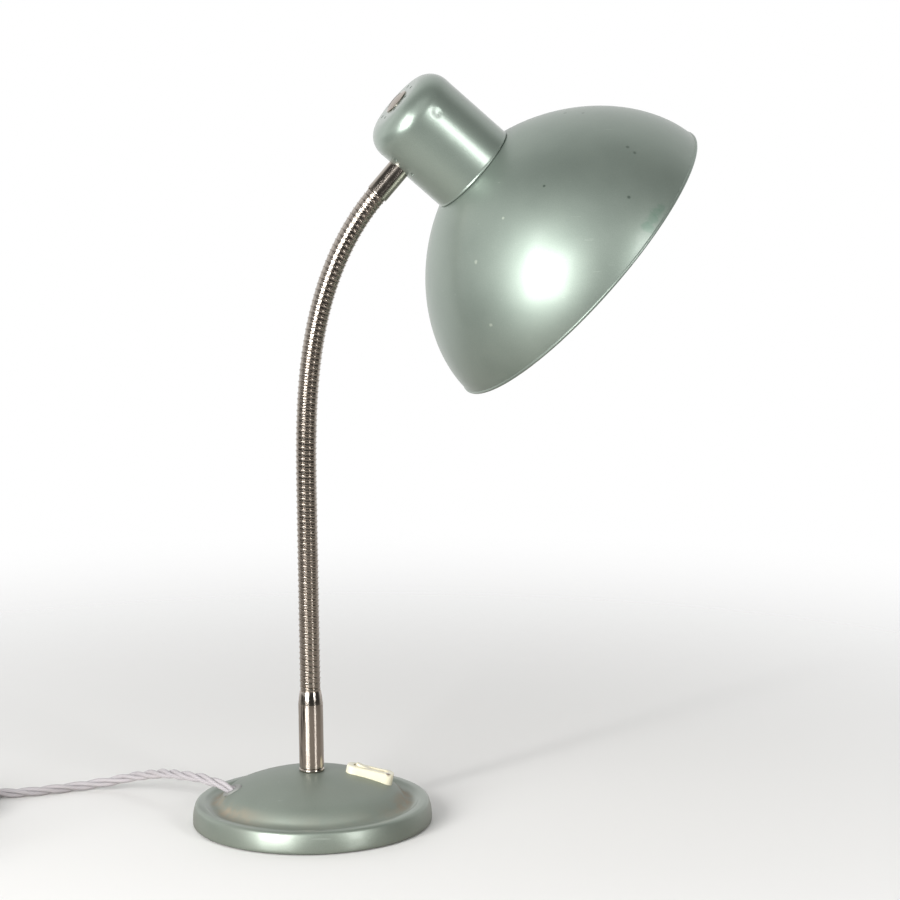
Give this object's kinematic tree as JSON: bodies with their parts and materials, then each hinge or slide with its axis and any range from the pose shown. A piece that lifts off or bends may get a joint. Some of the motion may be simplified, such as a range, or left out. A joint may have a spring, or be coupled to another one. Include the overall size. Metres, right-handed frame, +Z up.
{
  "type": "gooseneck desk lamp",
  "caption": "Table lamp with a round weighted base, rocker switch, bending metal hose neck, bell shade with a cap over a screw lampholder, and a twisted lead with plug.",
  "frame": {"origin": "centre of the base's flat underside, on the table", "axes": "+Z up, +X the way the neck leans over, so that the neck's bend lies in the XZ plane; +Y to the left of someone who looks along +X"},
  "size_m": [0.5453, 0.21, 0.465],
  "materials": {
    "paint": "satin",
    "cast_weight": "matte",
    "plate": "satin",
    "felt": "matte",
    "zinc_steel": "satin",
    "chrome": "polished",
    "hose": "polished",
    "brass": "satin",
    "cream": "gloss",
    "bakelite": "gloss",
    "leads": "satin",
    "gland": "matte",
    "bulb_glass": "satin",
    "bulb_cap": "satin",
    "flex": "matte",
    "tie": "satin",
    "plug": "satin"
  },
  "bodies": {
    "base": {"base_shell": "paint", "base_weight": "cast_weight", "base_plate": "plate", "base_felt": "felt", "plate_screws": "zinc_steel", "stem_collar": "chrome", "stem_washer": "zinc_steel", "stem_nut": "brass", "lower_ferrule": "chrome", "switch_housing": "cream", "rocker_pin": "zinc_steel", "switch_contacts": "brass", "cord_gland": "gland", "cord_grip": "zinc_steel", "base_leads": "leads", "neck_lower_end": "hose", "cord": "flex", "cord_coil": "flex", "cord_tail": "flex", "cord_tie": "tie", "plug_relief": "plug", "plug_body": "plug", "plug_pins": "brass"},
    "rocker": {"rocker": "cream"},
    "neck_01": {"neck_link_01": "hose"},
    "neck_02": {"neck_link_02": "hose"},
    "neck_03": {"neck_link_03": "hose"},
    "neck_04": {"neck_link_04": "hose"},
    "neck_05": {"neck_link_05": "hose"},
    "neck_06": {"neck_link_06": "hose"},
    "neck_07": {"neck_link_07": "hose"},
    "neck_08": {"neck_link_08": "hose"},
    "neck_09": {"neck_link_09": "hose"},
    "neck_10": {"neck_link_10": "hose"},
    "neck_11": {"neck_link_11": "hose"},
    "neck_12": {"neck_link_12": "hose"},
    "neck_13": {"neck_link_13": "hose"},
    "neck_14": {"neck_link_14": "hose"},
    "neck_15": {"neck_link_15": "hose"},
    "neck_16": {"neck_link_16": "hose"},
    "neck_17": {"neck_link_17": "hose"},
    "head": {"neck_upper_end": "hose", "upper_ferrule": "chrome", "neck_nut": "brass", "cap": "paint", "cap_nut": "chrome", "cap_nipple": "zinc_steel", "nipple_lock_nut": "brass", "holder_body": "bakelite", "holder_shell": "brass", "holder_contact": "brass", "holder_terminals": "brass", "head_leads": "leads", "shade": "paint", "shade_ring": "bakelite", "bulb_glass": "bulb_glass", "bulb_cap": "bulb_cap", "bulb_contact": "brass"}
  },
  "joints": [
    {"name": "neck_low_bend", "type": "hinge", "parent": "base", "child": "neck_01", "pos_m": [0, 0, 0.09313], "axis": [0, 1, 0], "range_deg": [-8, 4]},
    {"name": "neck_low_sway", "type": "hinge", "parent": "neck_01", "child": "neck_02", "pos_m": [0, 0, 0.11083], "axis": [1, 0, 0], "range_deg": [-6, 6]},
    {"name": "neck_bend_03", "type": "hinge", "parent": "neck_02", "child": "neck_03", "pos_m": [0, 0, 0.12853], "axis": [0, 1, 0], "range_deg": [-8, 4]},
    {"name": "neck_bend_04", "type": "hinge", "parent": "neck_03", "child": "neck_04", "pos_m": [0, 0, 0.14623], "axis": [0, 1, 0], "range_deg": [-8, 4]},
    {"name": "neck_sway_05", "type": "hinge", "parent": "neck_04", "child": "neck_05", "pos_m": [0, 0, 0.16393], "axis": [1, 0, 0], "range_deg": [-6, 6]},
    {"name": "neck_bend_06", "type": "hinge", "parent": "neck_05", "child": "neck_06", "pos_m": [0, 0, 0.18163], "axis": [0, 1, 0], "range_deg": [-8, 4]},
    {"name": "neck_mid_bend", "type": "hinge", "parent": "neck_06", "child": "neck_07", "pos_m": [0, 0, 0.19933], "axis": [0, 1, 0], "range_deg": [-8, 4]},
    {"name": "neck_sway_08", "type": "hinge", "parent": "neck_07", "child": "neck_08", "pos_m": [0, 0, 0.21703], "axis": [1, 0, -0.0043], "range_deg": [-6, 6]},
    {"name": "neck_bend_09", "type": "hinge", "parent": "neck_08", "child": "neck_09", "pos_m": [0.00015, 0, 0.23473], "axis": [0, 1, 0], "range_deg": [-8, 4]},
    {"name": "neck_bend_10", "type": "hinge", "parent": "neck_09", "child": "neck_10", "pos_m": [0.00065, 0, 0.25242], "axis": [0, 1, 0], "range_deg": [-8, 4]},
    {"name": "neck_top_sway", "type": "hinge", "parent": "neck_10", "child": "neck_11", "pos_m": [0.0017, 0, 0.27009], "axis": [0.9967, 0, -0.081], "range_deg": [-6, 6]},
    {"name": "neck_bend_12", "type": "hinge", "parent": "neck_11", "child": "neck_12", "pos_m": [0.00352, 0, 0.28769], "axis": [0, 1, 0], "range_deg": [-8, 4]},
    {"name": "neck_top_bend", "type": "hinge", "parent": "neck_12", "child": "neck_13", "pos_m": [0.00629, 0, 0.30518], "axis": [0, 1, 0], "range_deg": [-8, 4]},
    {"name": "neck_sway_14", "type": "hinge", "parent": "neck_13", "child": "neck_14", "pos_m": [0.01021, 0, 0.32244], "axis": [0.9657, 0, -0.2595], "range_deg": [-6, 6]},
    {"name": "neck_bend_15", "type": "hinge", "parent": "neck_14", "child": "neck_15", "pos_m": [0.01547, 0, 0.33934], "axis": [0, 1, 0], "range_deg": [-8, 4]},
    {"name": "neck_bend_16", "type": "hinge", "parent": "neck_15", "child": "neck_16", "pos_m": [0.02222, 0, 0.3557], "axis": [0, 1, 0], "range_deg": [-8, 4]},
    {"name": "neck_sway_17", "type": "hinge", "parent": "neck_16", "child": "neck_17", "pos_m": [0.03058, 0, 0.3713], "axis": [0.8532, 0, -0.5216], "range_deg": [-6, 6]},
    {"name": "neck_bend_18", "type": "hinge", "parent": "neck_17", "child": "head", "pos_m": [0.04065, 0, 0.38586], "axis": [0, 1, 0], "range_deg": [-8, 4]},
    {"name": "rocker_tip", "type": "hinge", "parent": "base", "child": "rocker", "pos_m": [0.0359, -0.00377, 0.02853], "axis": [0.2551, 0.9663, -0.0342], "range_deg": [-16, 0]}
  ],
  "couplings": [
    {"joint": "neck_bend_03", "follows": "neck_low_bend", "ratio": 1},
    {"joint": "neck_bend_04", "follows": "neck_low_bend", "ratio": 1},
    {"joint": "neck_bend_06", "follows": "neck_low_bend", "ratio": 1},
    {"joint": "neck_bend_09", "follows": "neck_mid_bend", "ratio": 1},
    {"joint": "neck_bend_10", "follows": "neck_mid_bend", "ratio": 1},
    {"joint": "neck_bend_12", "follows": "neck_mid_bend", "ratio": 1},
    {"joint": "neck_bend_15", "follows": "neck_top_bend", "ratio": 1},
    {"joint": "neck_bend_16", "follows": "neck_top_bend", "ratio": 1},
    {"joint": "neck_bend_18", "follows": "neck_top_bend", "ratio": 1},
    {"joint": "neck_sway_05", "follows": "neck_low_sway", "ratio": 1},
    {"joint": "neck_sway_08", "follows": "neck_low_sway", "ratio": 1},
    {"joint": "neck_sway_14", "follows": "neck_top_sway", "ratio": 1},
    {"joint": "neck_sway_17", "follows": "neck_top_sway", "ratio": 1}
  ]
}
